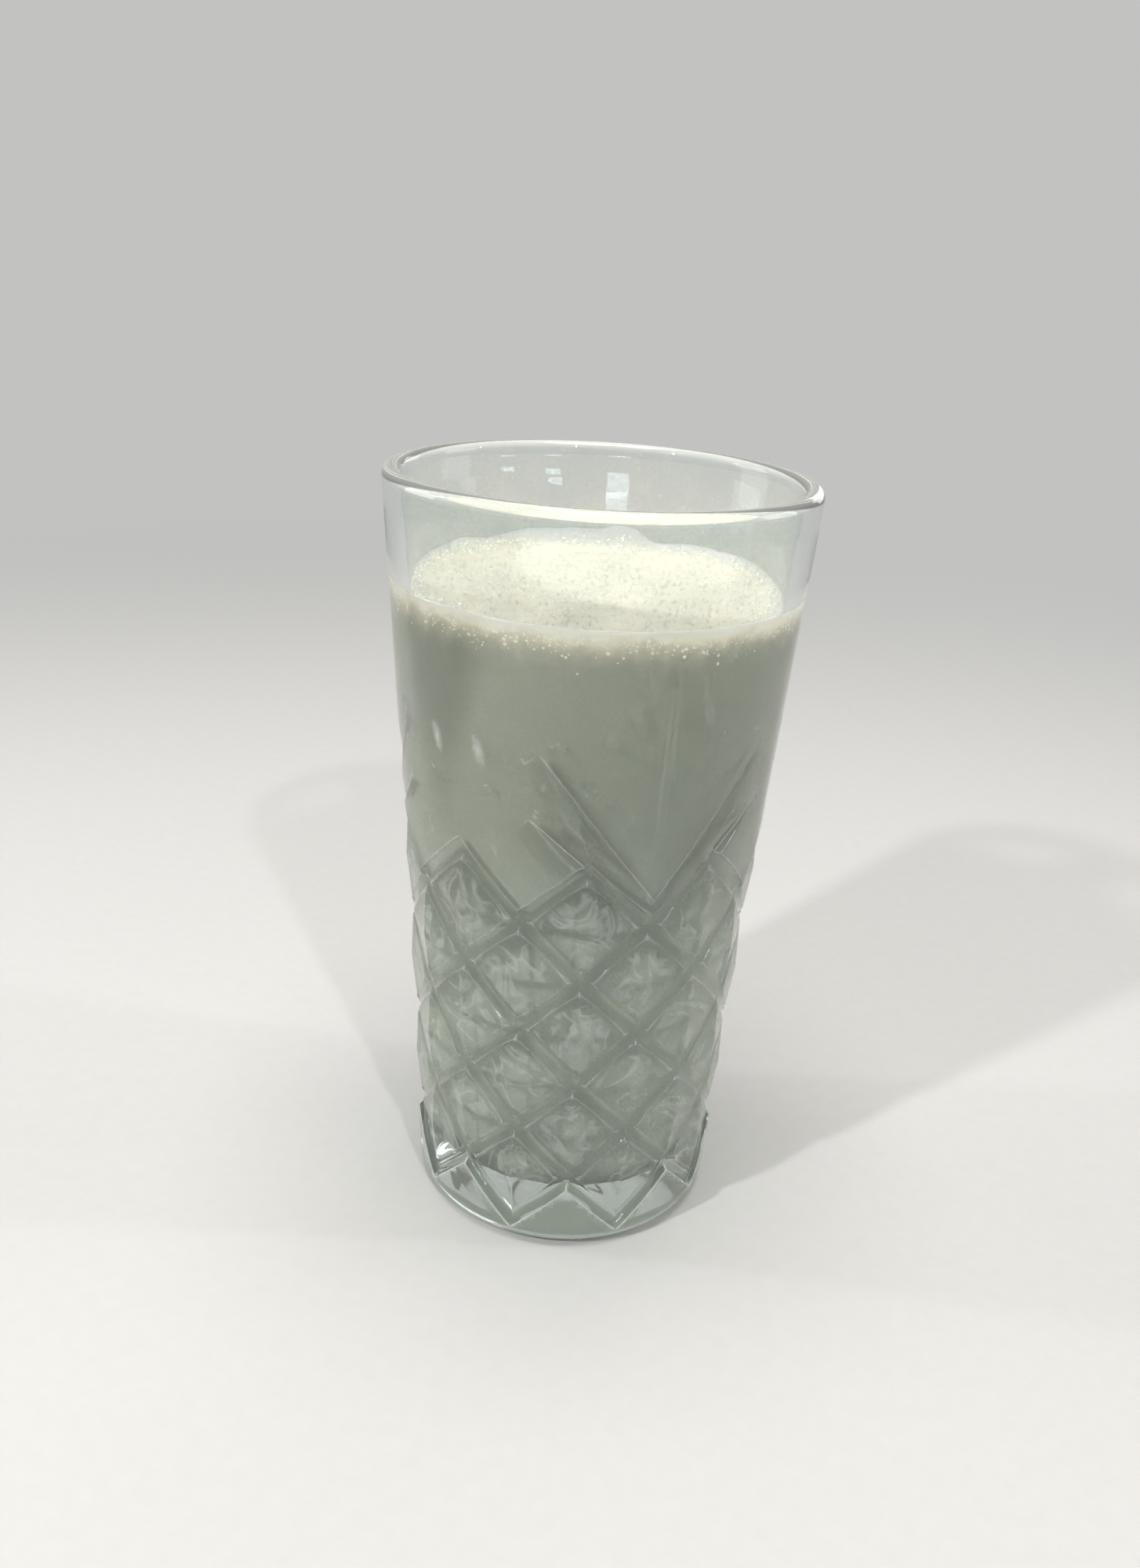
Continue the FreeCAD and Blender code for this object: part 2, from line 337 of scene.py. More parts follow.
class Patch:
    """A flat layout of points and lines that is filled with triangles."""

    def __init__(self, outline):
        self.points = []
        self.index = {}
        self.edges = []
        self.outline = [self.point(p) for p in outline]

    def point(self, place):
        key = (round(place[0], 5), round(place[1], 5))
        if key not in self.index:
            self.index[key] = len(self.points)
            self.points.append(Vector(key))
        return self.index[key]

    def line(self, places):
        ends = [self.point(p) for p in places]
        self.edges += [pair for pair in zip(ends[:-1], ends[1:]) if pair[0] != pair[1]]

    def triangles(self):
        """Points and triangles inside the outline."""
        filled = delaunay_2d_cdt(self.points, self.edges, [self.outline], 1, 1e-6)
        return filled[0], [tuple(face) for face in filled[2]]

    def refine(self, normal, sharpest, rounds, smallest):
        """Adds points where the normals at the corners of a triangle are too far apart."""
        for _ in range(rounds):
            points, triangles = self.triangles()
            normals = [normal(point) for point in points]
            for a, b, c in triangles:
                area = abs((points[b] - points[a]).cross(points[c] - points[a])) / 2.0
                alike = min(normals[a].dot(normals[b]), normals[b].dot(normals[c]),
                            normals[c].dot(normals[a]))
                if area > smallest and alike < sharpest:
                    self.point((points[a] + points[b] + points[c]) / 3.0)


SIDE_NODES = (0.0, 0.035, 0.07, 0.1, 0.14, 0.19, 0.25, 0.31, 0.37, 0.435, 0.5)
SIDE_NODES = SIDE_NODES + tuple(1.0 - x for x in reversed(SIDE_NODES[:-1]))
RIDGE_NODES = (0.02, 0.045, 0.07, 0.1, 0.14, 0.2, 0.27, 0.34, 0.41, 0.47, 0.5)
RIDGE_NODES = RIDGE_NODES + tuple(1.0 - x for x in reversed(RIDGE_NODES[:-1]))
GROOVE_LINES = (0.025, 0.045, 0.062)
FACET_LINES = (0.17, 0.27, 0.38)
EDGE_GAP = 0.011             # between the lines that follow a groove's edge
RIDGE_GAP = 0.01             # and a ridge, as shares of the cell's side
CELL = 16.4                  # side of a cell at half height
SEGMENT = 2.5                # turn of one facet of the smooth walls, in degrees
PATCH_TOP = 132.0
PATCH_FOOT = 1.6
FLAT_SCALE = math.radians(1.0) * 35.0      # degrees to millimetres in a flat layout
BANK_SHARES = (0.35, 0.7, 0.91, 1.0, 1.09)
BLADE_GAP = 0.22             # between the lines that follow a blade
SEAM_RADIUS = 36.0
FAN_HEIGHTS = (76.0, 112.0)  # of the close rows of points over the fan
FAN_TURN = 1.7               # from point to point of such a row
FAN_FOOT_TURN = 4.0          # half turn that the rows cover at the fan's foot
FAN_WIDENING = 1.45          # degrees by which that grows with each millimetre of height
FAN_HALF_TURN = 40.0
BORDER_TOP = 92.0            # height up to which every other row goes on beside the fan
PLAIN_START = 95.0
PLAIN_STEP = 3.0
FOOT_EDGE_HEIGHTS = [12.0, 9.0, 6.5, 4.6, 3.2, 2.4]
FOOT_HEIGHTS = (2.0, 2.4, 2.9, 3.4, 4.0, 4.8, 5.8, 7.0, 8.5, 10.0, 12.0)
TOP_MARGIN = 0.6             # kept free above the border of the diamonds
FOOT_MARGIN = 0.8            # and below it
LEFT, RIGHT = HALF_COLUMN - SECTOR / 2.0, HALF_COLUMN + SECTOR / 2.0


def flat(angle, z):
    """Place of a turn and a height in a flat layout."""
    return (angle * FLAT_SCALE, z)


def span(start, end, step):
    """Even steps from a start to an end, each about this long."""
    count = max(1, round(abs(end - start) / step))
    return [start + (end - start) * k / count for k in range(count + 1)]


def groove_edge(along):
    """Share of the cell at which the groove meets the facet, at a place along its side."""
    middle = abs(along - 0.5) / (0.5 - GROOVE_SHARE)
    sag = 0.33 * (1.0 - middle ** 2)
    rise = GROOVE_DEPTH - DIAMOND_EDGE_DEPTH - sag
    return (max(rise, 0.05) / GROOVE_CURVE) ** (1.0 / GROOVE_POWER) / CELL


def diamond_patch():
    """One diamond cell, with lines along its groove edges and its ridges."""
    corners = [Vector(c) for c in ((0.0, 0.0), (1.0, 0.0), (1.0, 1.0), (0.0, 1.0))]
    outline = []
    for k in range(4):
        outline += [corners[k].lerp(corners[(k + 1) % 4], t) for t in SIDE_NODES[:-1]]
    patch = Patch(outline)

    def on_side(k, along, depth):
        start, end = corners[k], corners[(k + 1) % 4]
        inward = Vector((start.y - end.y, end.x - start.x))
        return start.lerp(end, along) + inward * depth

    for k in range(4):
        for depth in GROOVE_LINES:
            ends = (depth + 0.01, 0.99 - depth)
            patch.line([on_side(k, t, depth) for t in SIDE_NODES if ends[0] < t < ends[1]])
        inside = [t for t in SIDE_NODES if 0.12 < t < 0.88]
        for gap in (-EDGE_GAP, 0.0, EDGE_GAP):
            patch.line([on_side(k, t, groove_edge(t) + gap) for t in inside])
        for depth in FACET_LINES:
            for t in SIDE_NODES:
                if depth + 0.03 < t < 0.97 - depth:
                    patch.point(on_side(k, t, depth))
    for gap in (-RIDGE_GAP, 0.0, RIDGE_GAP):
        patch.line([(t + gap, t - gap) for t in RIDGE_NODES])
        patch.line([(t + gap, 1.0 - t + gap) for t in RIDGE_NODES])
    return patch.triangles()


def zigzag(nodes):
    """Turns and heights along a border of the diamonds, through these lattice nodes."""
    places = []
    for start, end in zip(nodes[:-1], nodes[1:]):
        places += [Vector(start).lerp(Vector(end), t) for t in SIDE_NODES[:-1]]
    places.append(Vector(nodes[-1]))
    return [lattice_turn(p.x, p.y) for p in places]


def blade_line(blade, width, mirror, samples=26):
    """Turns and heights along a blade, at a greatest distance from its bottom line."""
    foot, tip = [Vector(end) for end in blade_ends(blade)]
    direction = (tip - foot).normalized()
    normal = Vector((direction.y, -direction.x))
    places = []
    for k in range(samples + 1):
        fullness = 1.0 - (2.0 * k / samples - 1.0) ** 2
        place = foot.lerp(tip, k / samples) + normal * width * fullness
        turn = math.degrees(place.x / wall_radius(place.y))
        places.append((HALF_COLUMN + mirror * turn, place.y))
    return places


def in_top(angle, z):
    """True well inside the wall above the diamonds."""
    above = lattice_row(angle, z - TOP_MARGIN) > DIAMOND_ROWS
    return above and z < PATCH_TOP - 1.0 and LEFT < angle < RIGHT


def runs_in_top(places):
    """The unbroken parts of a line that lie in the wall above the diamonds."""
    runs = [[]]
    for place in places:
        if in_top(*place):
            runs[-1].append(place)
        elif runs[-1]:
            runs.append([])
    return runs


def top_patch():
    """The wall above the diamonds over one sector, with one fan in its middle."""
    nodes = [(2 + k // 2, -5 + (k + 1) // 2) for k in range(2 * COLUMNS_PER_FAN + 1)]
    border = zigzag(nodes)
    banks = [share * TOP_BANK * math.sqrt(2.0) for share in BANK_SHARES]
    heights = [border[0][1] + rise for rise in banks]
    heights += span(heights[-1], PATCH_TOP, PLAIN_STEP)[1:]
    outline = [flat(*p) for p in border]
    outline += [flat(RIGHT, z) for z in heights]
    outline += [flat(a, PATCH_TOP) for a in span(RIGHT, LEFT, SEGMENT)[1:]]
    outline += [flat(LEFT, z) for z in reversed(heights[:-1])]
    patch = Patch(outline)
    for rise in banks:
        patch.line([flat(angle, z + rise) for angle, z in border])
    for blade in BLADES:
        below, above = blade[5:]
        for mirror in (1.0, -1.0):
            for width in (0.0, -below, above):
                for run in runs_in_top(blade_line(blade, width, mirror)):
                    for gap in (-BLADE_GAP, 0.0, BLADE_GAP):
                        patch.line([flat(a, z + gap) for a, z in run])
    for share in (-1.0, -0.5, 0.0, 0.5, 1.0):
        turn = HALF_COLUMN + math.degrees(share * SEAM_HALF_WIDTH / SEAM_RADIUS)
        patch.line([flat(turn, z) for z in span(SEAM_SPAN[0] + 2.0, PATCH_TOP - 2.0, 2.0)])
    for k, z in enumerate(span(*FAN_HEIGHTS, 1.0)):
        for angle in span(LEFT + FAN_TURN, RIGHT - FAN_TURN, FAN_TURN):
            angle += FAN_TURN / 2.0 * (k % 2)
            reach = min((z - CROSSING) * FAN_WIDENING + FAN_FOOT_TURN, FAN_HALF_TURN)
            near_fan = abs(angle - HALF_COLUMN) < reach
            if in_top(angle, z) and (near_fan or z < BORDER_TOP and k % 2):
                patch.point(flat(angle, z))
    for z in span(PLAIN_START, PATCH_TOP - PLAIN_STEP, PLAIN_STEP):
        for angle in span(LEFT + SEGMENT, RIGHT - SEGMENT, SEGMENT):
            patch.point(flat(angle, z))
    patch.refine(lambda p: skin_normal(p.x / FLAT_SCALE, p.y),
                 sharpest=0.985, rounds=4, smallest=0.012)
    return patch.triangles()


def foot_patch():
    """The wall below the diamonds over one sector, down into the rounded heel."""
    nodes = [(-1 + k // 2, -2 + (k + 1) // 2) for k in range(2 * COLUMNS_PER_FAN + 1)]
    border = zigzag(nodes)
    banks = [share * FOOT_BANK * math.sqrt(2.0) for share in BANK_SHARES]
    heights = [border[0][1] - drop for drop in banks] + FOOT_EDGE_HEIGHTS
    outline = [flat(*p) for p in reversed(border)]
    outline += [flat(LEFT, z) for z in heights]
    outline += [flat(a, PATCH_FOOT) for a in span(LEFT, RIGHT, SEGMENT)]
    outline += [flat(RIGHT, z) for z in reversed(heights)]
    patch = Patch(outline)
    for drop in banks:
        patch.line([flat(angle, z - drop) for angle, z in border])
    step = SEGMENT / 2.0
    for z in FOOT_HEIGHTS:
        for angle in span(LEFT + step, RIGHT - step, step):
            if lattice_row(angle, z + FOOT_MARGIN) < 1:
                patch.point(flat(angle, z))
    return patch.triangles()


# ---------------------------------------------------------------- the glass as one closed skin

FLOOR_SHARES = (0.66, 0.33, 0.0)             # rings from the round of the floor to its middle
PUNT_SHARES = (0.0, 0.33, 0.66, 0.9)         # rings of the hollow under the foot
PUNT_LEAN = 0.08                             # how far its edge leans outwards
RING_FLAT = 0.5                              # flat part of the standing ring
PLAIN_HEIGHTS = (137.0, 142.0, 146.0)        # rings of the plain wall under the lip


def new_piece(name, places, faces):
    """A smooth piece from its vertices, in metres, and its faces."""
    mesh = bpy.data.meshes.new(name)
    mesh.from_pydata(places, [], faces)
    mesh.polygons.foreach_set("use_smooth", [True] * len(mesh.polygons))
    piece = bpy.data.objects.new(name, mesh)
    bpy.context.scene.collection.objects.link(piece)
    return piece


class Shell:
    """Vertices with normals and a mask of painted highlights and caustic wisps, and faces, of one
    closed skin.
    """

    def __init__(self):
        self.places = []
        self.normals = []
        self.wear = []
        self.index = {}
        self.faces = []

    # The wear value is the mask of painted highlights and painted caustic wisps.
    def vertex(self, place, normal, wear=0.0):
        self.places.append(place)
        self.normals.append(normal)
        self.wear.append(wear)
        return len(self.places) - 1

    def skin_vertex(self, angle, z):
        """Vertex on the cut wall, shared by all that meet at this turn and height."""
        key = (round(angle * 1000.0) % 360000, round(z * 1000.0 + 0.125))
        if key not in self.index:
            self.index[key] = self.vertex(skin_point(angle, z), skin_normal(angle, z),
                                          painted_light_mask(angle, z))
        return self.index[key]

    def face(self, corners):
        """Adds a face, without corners that fall together."""
        corners = [c for k, c in enumerate(corners) if c != corners[k - 1]]
        if len(corners) > 2:
            self.faces.append(corners)

    def lay(self, patch, place, turned_over=False):
        """Lays a flat patch on the wall. place turns a layout point into a turn and a height."""
        points, triangles = patch
        ids = [self.skin_vertex(*place(point)) for point in points]
        for triangle in triangles:
            corners = [ids[k] for k in triangle]
            self.face(corners[::-1] if turned_over else corners)

    def ring(self, radius, z, out, up):
        """A level ring of vertices, or one vertex on the axis."""
        count = round(360.0 / SEGMENT)
        if radius == 0.0:
            return [self.vertex(Vector((0.0, 0.0, z)), Vector((0.0, 0.0, up)))] * count
        ring = []
        for k in range(count):
            normal = around(k * SEGMENT, out, up).normalized()
            ring.append(self.vertex(around(k * SEGMENT, radius, z), normal))
        return ring

    def skin_ring(self, z):
        """A level ring of vertices on the cut wall."""
        return [self.skin_vertex(k * SEGMENT, z) for k in range(round(360.0 / SEGMENT))]

    def join(self, rings):
        """Fills the bands between rings that follow each other."""
        for lower, upper in zip(rings[:-1], rings[1:]):
            for k in range(len(lower)):
                n = (k + 1) % len(lower)
                self.face([lower[k], lower[n], upper[n], upper[k]])

    def piece(self, name):
        """The finished skin, with its normals, and its mask of painted highlights and caustic wisps
        in an attribute.
        """
        piece = new_piece(name, [p * MM * BOX_FIT for p in self.places], self.faces)
        piece.data.normals_split_custom_set_from_vertices(self.normals)
        painted_light_values = piece.data.attributes.new("painted_light_mask", "FLOAT", "POINT").data
        painted_light_values.foreach_set("value", self.wear)
        return piece


def arc(centre, radius, start, end, steps):
    """Outline points of a round between two directions in degrees: radius, height, normal."""
    rows = []
    for k in range(steps + 1):
        turn = math.radians(start + (end - start) * k / steps)
        out, up = math.cos(turn), math.sin(turn)
        rows.append((centre[0] + radius * out, centre[1] + radius * up, out, up))
    return rows


def bore_rows(top, grow=0.0, step=6.0):
    """Outline of the bore from a height down to the middle of its floor, normals into the bore."""
    slope = (bore_radius(top) - bore_radius(FLOOR_HEIGHT)) / (top - FLOOR_HEIGHT)
    lean = math.atan(slope)
    reach = FLOOR_ROUND * math.tan((math.pi / 2.0 - lean) / 2.0)
    wall_start = FLOOR_HEIGHT + math.cos(lean) * reach
    centre = (bore_radius(FLOOR_HEIGHT) - reach, FLOOR_HEIGHT + FLOOR_ROUND)
    rows = [(bore_radius(z) + grow, z, -1.0, slope) for z in span(top, wall_start, step)[:-1]]
    corner = arc(centre, FLOOR_ROUND + grow, -math.degrees(lean), -90.0, 10)
    rows += [(r, z, -out, -up) for r, z, out, up in corner]
    rows += [(centre[0] * share, FLOOR_HEIGHT - grow, 0.0, 1.0) for share in FLOOR_SHARES]
    return rows


def build_tumbler():
    """The glass: diamonds, the patches above and below them, the foot, the lip and the bore."""
    shell = Shell()
    cell = diamond_patch()
    for column in range(COLUMNS):
        for row in range(1, DIAMOND_ROWS + 1):
            shell.lay(cell, lambda p: lattice_turn(p.x + column + row, p.y + column), True)
    top, foot = top_patch(), foot_patch()
    for sector in range(FANS):
        for patch in (top, foot):
            shell.lay(patch, lambda p: (p.x / FLAT_SCALE + sector * SECTOR, p.y))
    heel_centre = wall_radius(HEEL_ROUND) - HEEL_ROUND
    punt_edge = heel_centre - STANDING_RING
    under = [(punt_edge * s, PUNT_DEPTH * (1.0 - s * s), PUNT_LEAN * s, -1.0) for s in PUNT_SHARES]
    under += [(punt_edge, 0.0, PUNT_LEAN / 2.0, -1.0), (punt_edge + RING_FLAT, 0.0, 0.0, -1.0)]
    start = -math.degrees(math.asin((HEEL_ROUND - PATCH_FOOT) / HEEL_ROUND))
    under += arc((heel_centre, HEEL_ROUND), HEEL_ROUND, -90.0, start, 7)[:-1]
    shell.join([shell.ring(*row) for row in under] + [shell.skin_ring(PATCH_FOOT)])
    lip_round = RIM_WALL / 2.0
    lip_height = HEIGHT - lip_round
    lip_middle = (wall_radius(lip_height) + bore_radius(lip_height)) / 2.0
    over = [(wall_radius(z), z, 1.0, -WALL_TAPER) for z in PLAIN_HEIGHTS]
    over += arc((lip_middle, lip_height), lip_round, 0.0, 180.0, 16)
    over += bore_rows(lip_height)[1:]
    shell.join([shell.skin_ring(PATCH_TOP)] + [shell.ring(*row) for row in over])
    return shell.piece("cut_tumbler")


# ---------------------------------------------------------------- pieces modelled by hand

EDGE_STEPS = (0.0, 0.15, 0.3, 0.5, 0.7, 0.95, 1.25, 1.6, 2.1, 2.7, 3.4, 4.2)
SURFACE_STEP = 0.85          # from ring to ring of the drink's surface, away from the wall
BODY_SIDES = 180
BUBBLE_SIDES = (8, 6)
SUNK = 0.25                  # how deep a surface bubble sits, as a share of its size
EDGE_BUBBLES = 1300
MIDDLE_BUBBLES = 1700
WALL_BUBBLES = 1500
DROPLETS = 700
DROPLET_TURNS = (75.0, 285.0)                # the drops keep to the sides and the back


def clear_selection():
    bpy.ops.object.select_all(action="DESELECT")


def finish_piece(name):
    """Gives the active piece its name, with its place in its mesh."""
    piece = bpy.context.active_object
    piece.name = name
    piece.data.name = name
    bpy.ops.object.transform_apply(location=True, rotation=True, scale=True)
    return piece


def turned(name, rows, sides):
    """A round body through rows of (radius, height), from the middle below to the middle above."""
    clear_selection()
    radius, height = rows[0]
    bpy.ops.mesh.primitive_circle_add(vertices=sides, radius=radius * MM, fill_type="TRIFAN",
                                      location=(0.0, 0.0, height * MM))
    bpy.ops.object.mode_set(mode="EDIT")
    bpy.ops.mesh.select_all(action="SELECT")
    for next_radius, next_height in rows[1:]:
        rise = (0.0, 0.0, (next_height - height) * MM)
        bpy.ops.mesh.extrude_region_move(TRANSFORM_OT_translate={"value": rise})
        scale = next_radius / radius
        bpy.ops.transform.resize(value=(scale, scale, 1.0),
                                 center_override=(0.0, 0.0, next_height * MM))
        radius, height = next_radius, next_height
    bpy.ops.mesh.select_all(action="SELECT")
    bpy.ops.mesh.normals_make_consistent(inside=False)
    bpy.ops.mesh.faces_shade_smooth()
    bpy.ops.object.mode_set(mode="OBJECT")
    return finish_piece(name)


def surface_rise(x, y):
    """How far the drink's surface stands over its level: slow swells and the creep up the wall."""
    radius = math.hypot(x, y)
    gap = max(bore_radius(MILK_LEVEL) - radius, 0.0)
    along = Vector((x, y, 0.0)) * (1.0 / max(radius, 0.1))
    uneven = 1.0
    for share, scale in CREEP_NOISE:
        uneven += share * noise.noise(along * scale)
    creep = CREEP_HEIGHT * uneven
    creep += BACK_CREEP * max(along.y, 0.0) ** 0.7 * (1.0 + 0.6 * noise.noise(along * 3.6))
    swell = SWELL[0] * noise.noise(Vector((x, y, 0.0)) * SWELL[1])
    lumps = LUMPS[0] * noise.noise(Vector((x, y, 4.0)) * LUMPS[1])
    return creep * math.exp(-gap / CREEP_REACH) + swell + lumps


def build_buttermilk():
    """The drink, with its wall and floor just inside the glass."""
    below = [row[:2] for row in reversed(bore_rows(MILK_LEVEL - 1.0, WALL_BITE, 9.0)[:-1])]
    edge = bore_radius(MILK_LEVEL) + WALL_BITE
    radii = [edge - step for step in EDGE_STEPS] + span(edge - 5.0, 1.0, SURFACE_STEP)
    rows = below + [(radius, MILK_LEVEL) for radius in radii]
    body = turned("buttermilk_body", rows, BODY_SIDES)
    for vertex in body.data.vertices:
        x, y, z = vertex.co / MM
        if z > MILK_LEVEL - 0.1:
            rise = surface_rise(x, y)
            widen = 1.0
            if math.hypot(x, y) > edge - 0.01:
                widen = (bore_radius(z + rise) + WALL_BITE) / edge
            vertex.co = Vector((x * widen, y * widen, z + rise)) * MM
    return body


def small_ball(sides, rings):
    """Vertices and faces of a ball of radius 1, to be copied many times."""
    clear_selection()
    bpy.ops.mesh.primitive_uv_sphere_add(segments=sides, ring_count=rings, radius=1.0)
    ball = bpy.context.active_object
    places = [vertex.co.copy() for vertex in ball.data.vertices]
    faces = [tuple(polygon.vertices) for polygon in ball.data.polygons]
    bpy.data.objects.remove(ball)
    return places, faces


def scattered(name, model, spots):
    """One piece made of many copies of a small model, each with its own place, axes and sizes."""
    model_places, model_faces = model
    places, faces = [], []
    for centre, size, lean in spots:
        start = len(places)
        for place in model_places:
            scaled = Vector((place.x * size[0], place.y * size[1], place.z * size[2]))
            places.append((lean @ scaled + centre) * MM)
        faces += [tuple(start + k for k in face) for face in model_faces]
    return new_piece(name, places, faces)


def wall_frame(angle):
    """Axes of a small thing on the bore: across, up and inwards."""
    out = around(angle, 1.0, 0.0)
    across = out.cross(Vector((0.0, 0.0, 1.0)))
    return Matrix((across, Vector((0.0, 0.0, 1.0)), -out)).transposed()


def build_froth():
    """Small bubbles that lie half sunk on the drink's surface."""
    chance = random.Random(11)
    wall = bore_radius(MILK_LEVEL)
    upright = Matrix.Identity(3)
    spots = []

    def bubble(x, y, size):
        height = MILK_LEVEL + surface_rise(x, y)
        spots.append((Vector((x, y, height - SUNK * size)), (size, size, 0.85 * size), upright))

    for _ in range(EDGE_BUBBLES):
        gap = abs(chance.gauss(0.0, 1.0)) * 1.5
        size = 0.12 + 0.3 * chance.random() ** 3
        angle = 360.0 * chance.random()
        place = around(angle, wall - size - gap, 0.0)
        bubble(place.x, place.y, size)
    for _ in range(MIDDLE_BUBBLES):
        radius = wall * math.sqrt(chance.random()) - 1.0
        angle = 360.0 * chance.random()
        size = 0.08 + 0.2 * chance.random() ** 3
        place = around(angle, radius, 0.0)
        if noise.noise(place * 0.09) + 0.25 * place.y / wall > -0.15:
            bubble(place.x, place.y, size)
    return scattered("surface_froth", small_ball(*BUBBLE_SIDES), spots)


def build_wall_bubbles():
    """Bubbles held between the drink and the glass, just under the surface."""
    chance = random.Random(23)
    spots = []
    for _ in range(WALL_BUBBLES):
        angle = 360.0 * chance.random()
        drop = 0.3 + abs(chance.gauss(0.0, 1.0)) * 1.6
        size = 0.08 + 0.22 * chance.random() ** 3
        z = MILK_LEVEL - drop
        centre = around(angle, bore_radius(z) + WALL_BITE, z)
        spots.append((centre, (size, size, 0.3 * size), wall_frame(angle)))
    return scattered("wall_bubbles", small_ball(*BUBBLE_SIDES), spots)


def build_droplets():
    """Tiny drops left on the bore above the drink."""
    chance = random.Random(31)
    spots = []
    first, last = DROPLET_TURNS
    for _ in range(DROPLETS):
        angle = first + (last - first) * chance.random()
        z = MILK_LEVEL + 1.5 + 17.0 * chance.random() ** 1.6
        size = 0.05 + 0.1 * chance.random() ** 2
        centre = around(angle, bore_radius(z) - 0.02, z)
        spots.append((centre, (size, 1.25 * size, 0.35 * size), wall_frame(angle)))
    return scattered("inner_droplets", small_ball(*BUBBLE_SIDES), spots)


def build_haze():
    """The thin film that the drink left on the bore above its surface."""
    low, high = MILK_LEVEL + 1.2, HEIGHT - 2.6
    clear_selection()
    bpy.ops.mesh.primitive_cone_add(vertices=144, radius1=(bore_radius(low) - HAZE_GAP) * MM,
                                    radius2=(bore_radius(high) - HAZE_GAP) * MM,
                                    depth=(high - low) * MM, end_fill_type="NOTHING",
                                    location=(0.0, 0.0, (low + high) / 2.0 * MM))
    thickness = bpy.context.active_object.modifiers.new("thickness", "SOLIDIFY")
    thickness.thickness = HAZE_THICKNESS * MM
    thickness.offset = -1.0
    bpy.ops.object.modifier_apply(modifier=thickness.name)
    bpy.ops.object.shade_smooth_by_angle(angle=math.radians(40.0))
    return finish_piece("inner_haze")


# ---------------------------------------------------------------- finishes

# Heights between which a finish changes
THICK_TO_THIN = (0.068, 0.096)               # from the thick glass of the cut part up
# Heights of the painted light on the lip and on the heel
PAINTED_LIP_LIGHT = (0.1474, 0.1494)
PAINTED_HEEL_LIGHT = (0.0015, 0.0045)
# Heights of the drink's painted light and shade: a painted glow on its floor, painted light in the
# cut part giving way to painted shade above, the subsurface shader with its painted glow, and a
# band of painted light at the top
UNDERSIDE_GLOW = (0.009, 0.013)
LIT_TO_SHADED = (0.066, 0.092)
GLOW_START = (0.116, 0.127)
TOP_LIGHT_BAND = (0.1222, 0.1296)

# Colours. Of a pair, noise mixes the two.
THIN_GLASS = (0.94, 0.987, 0.968)
THICK_GLASS = (0.895, 0.972, 0.925)
SMUDGED_GLASS = (0.93, 0.975, 0.95)
# Pale film for painted highlights on the cut edges, painted caustic wisps and painted light on the
# lip and heel
PAINTED_LIGHT_FILM = ((0.80, 0.85, 0.79), (0.90, 0.92, 0.87))
# Lit and shaded copies of one milk: painted light at the top, painted shade on the body, painted
# light in the cut part
LIT_TOP_MILK = ((0.94, 0.87, 0.735), (0.97, 0.905, 0.78))
SHADED_MILK = ((0.60, 0.61, 0.505), (0.64, 0.655, 0.545))
LIT_MILK = ((0.84, 0.85, 0.745), (0.90, 0.905, 0.80))
FILM = ((0.80, 0.80, 0.70), (0.87, 0.86, 0.76))
PAPER = ((0.60, 0.60, 0.585), (0.64, 0.64, 0.625))
BLACK = (0.0, 0.0, 0.0)


class Value:
    """The output of a shader node. Each operation on it adds one Math node."""

    def __init__(self, finish, socket):
        self.finish = finish
        self.socket = socket

    def __add__(self, other):
        return self.finish.math("ADD", self, other)

    __radd__ = __add__

    def __sub__(self, other):
        return self.finish.math("SUBTRACT", self, other)

    def __rsub__(self, other):
        return self.finish.math("SUBTRACT", other, self)

    def __mul__(self, other):
        return self.finish.math("MULTIPLY", self, other)

    __rmul__ = __mul__


class Finish:
    """A material, or the world, and its nodes."""

    def __init__(self, owner):
        self.owner = owner
        owner.use_nodes = True
        self.tree = owner.node_tree

    def feed(self, node, inputs):
        """Links values to sockets of a node, and sets constants on them."""
        for name, value in inputs.items():
            socket = node.inputs[name]
            if isinstance(value, Value):
                self.tree.links.new(value.socket, socket)
            elif socket.type == "RGBA":
                socket.default_value = (*value, 1.0)
            else:
                socket.default_value = value

    def node(self, kind, inputs, output=0, **settings):
        """Adds a node with its settings, then the values or links of its sockets."""
        node = self.tree.nodes.new("ShaderNode" + kind)
        for name, value in settings.items():
            setattr(node, name, value)
        self.feed(node, inputs)
        return Value(self, node.outputs[output])

    def math(self, operation, first, second=0.0):
        return self.node("Math", {0: first, 1: second}, operation=operation)

    def place(self):
        return self.node("TexCoord", {}, output="Object")

    def height(self):
        return self.node("SeparateXYZ", {0: self.place()}, output=2)

    def clouds(self, scale, detail=3.0, roughness=0.5, distortion=0.0):
        """Noise of a given scale, 0 to 1."""
        return self.node("TexNoise", {"Vector": self.place(), "Scale": scale, "Detail": detail,
                                      "Roughness": roughness, "Distortion": distortion})

    def range(self, value, low, high, to_low=0.0, to_high=1.0, **settings):
        """Turns one range of values into another, and stops at its ends."""
        return self.node("MapRange", {"Value": value, "From Min": low, "From Max": high,
                                      "To Min": to_low, "To Max": to_high}, **settings)

    def blend(self, share, first, second):
        """A colour between two others."""
        return self.node("Mix", {"Factor": share, 6: first, 7: second}, output=2, data_type="RGBA")

    def bump(self, height, distance, strength=1.0):
        return self.node("Bump", {"Height": height, "Distance": distance, "Strength": strength})

    def dress(self, inputs):
        """Feeds the material's own shader."""
        self.feed(self.tree.nodes["Principled BSDF"], inputs)

    def lay_over(self, share, shader):
        """Lays a second shader over the material's own, by a share."""
        own = Value(self, self.tree.nodes["Principled BSDF"].outputs[0])
        mixed = self.node("MixShader", {0: share, 1: own, 2: shader})
        self.feed(self.tree.nodes["Material Output"], {"Surface": mixed})


